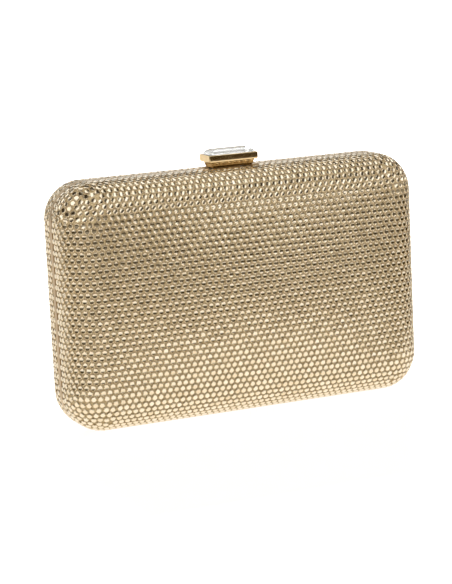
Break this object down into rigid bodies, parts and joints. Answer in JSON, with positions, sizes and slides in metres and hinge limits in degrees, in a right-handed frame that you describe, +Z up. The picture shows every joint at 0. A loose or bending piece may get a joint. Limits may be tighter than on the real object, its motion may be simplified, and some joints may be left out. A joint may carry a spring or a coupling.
{
  "type": "evening bag",
  "caption": "Hard-case evening clutch in champagne crystal mesh: two domed halves hinged along the base, with a push-down crystal clasp on top.",
  "frame": {"origin": "centre of the base, on the surface that the case stands on", "axes": "+X along the width, +Y from the front half to the back half, +Z up towards the clasp"},
  "size_m": [0.17, 0.0458, 0.1168],
  "materials": {
    "crystal_mesh": "champagne faceted crystals on gold mesh",
    "polished_gold": "polished light gold",
    "satin_gold": "satin light gold",
    "steel": "bright spring steel",
    "case_moulding": "moulded shell, not seen",
    "lining_board": "grey-brown board, not seen",
    "lining_satin": "champagne satin",
    "clear_crystal": "clear cut crystal",
    "foil": "mirror foil"
  },
  "bodies": {
    "back_half": {"back_crystal_cover": "crystal_mesh", "back_shell": "case_moulding", "back_frame": "polished_gold", "back_lining_board": "lining_board", "back_lining": "lining_satin", "hinge_leaf_back": "satin_gold", "hinge_pin": "steel", "back_hinge_rivet_1": "polished_gold", "back_hinge_rivet_2": "polished_gold", "back_hinge_rivet_3": "polished_gold", "back_hinge_rivet_4": "polished_gold", "back_escutcheon": "polished_gold", "latch_bracket": "satin_gold", "bracket_screw_1": "steel", "bracket_screw_2": "steel", "latch_spring_1": "steel", "latch_spring_2": "steel"},
    "front_half": {"front_crystal_cover": "crystal_mesh", "front_shell": "case_moulding", "front_frame": "polished_gold", "front_lining_board": "lining_board", "front_lining": "lining_satin", "hinge_leaf_front": "satin_gold", "front_hinge_rivet_1": "polished_gold", "front_hinge_rivet_2": "polished_gold", "front_hinge_rivet_3": "polished_gold", "front_hinge_rivet_4": "polished_gold", "catch_hook": "satin_gold", "hook_rivet_1": "polished_gold", "hook_rivet_2": "polished_gold", "front_escutcheon": "polished_gold"},
    "clasp_button": {"clasp_cup": "polished_gold", "crystal_foil": "foil", "clasp_crystal": "clear_crystal", "button_stem_1": "steel", "button_stem_2": "steel", "stem_clip_1": "steel", "stem_clip_2": "steel", "latch_keeper": "steel"}
  },
  "joints": [
    {"name": "front_opens", "type": "hinge", "parent": "back_half", "child": "front_half", "pos_m": [0, 0, 0.0016], "axis": [1, 0, 0], "range_deg": [0, 90]},
    {"name": "button_press", "type": "slide", "parent": "back_half", "child": "clasp_button", "axis": [0, 0, -1], "range_m": [0, 0.001], "stiffness_N_per_m": 1500, "springref_m": -0.001, "deforming": ["latch_spring_1", "latch_spring_2"]}
  ]
}
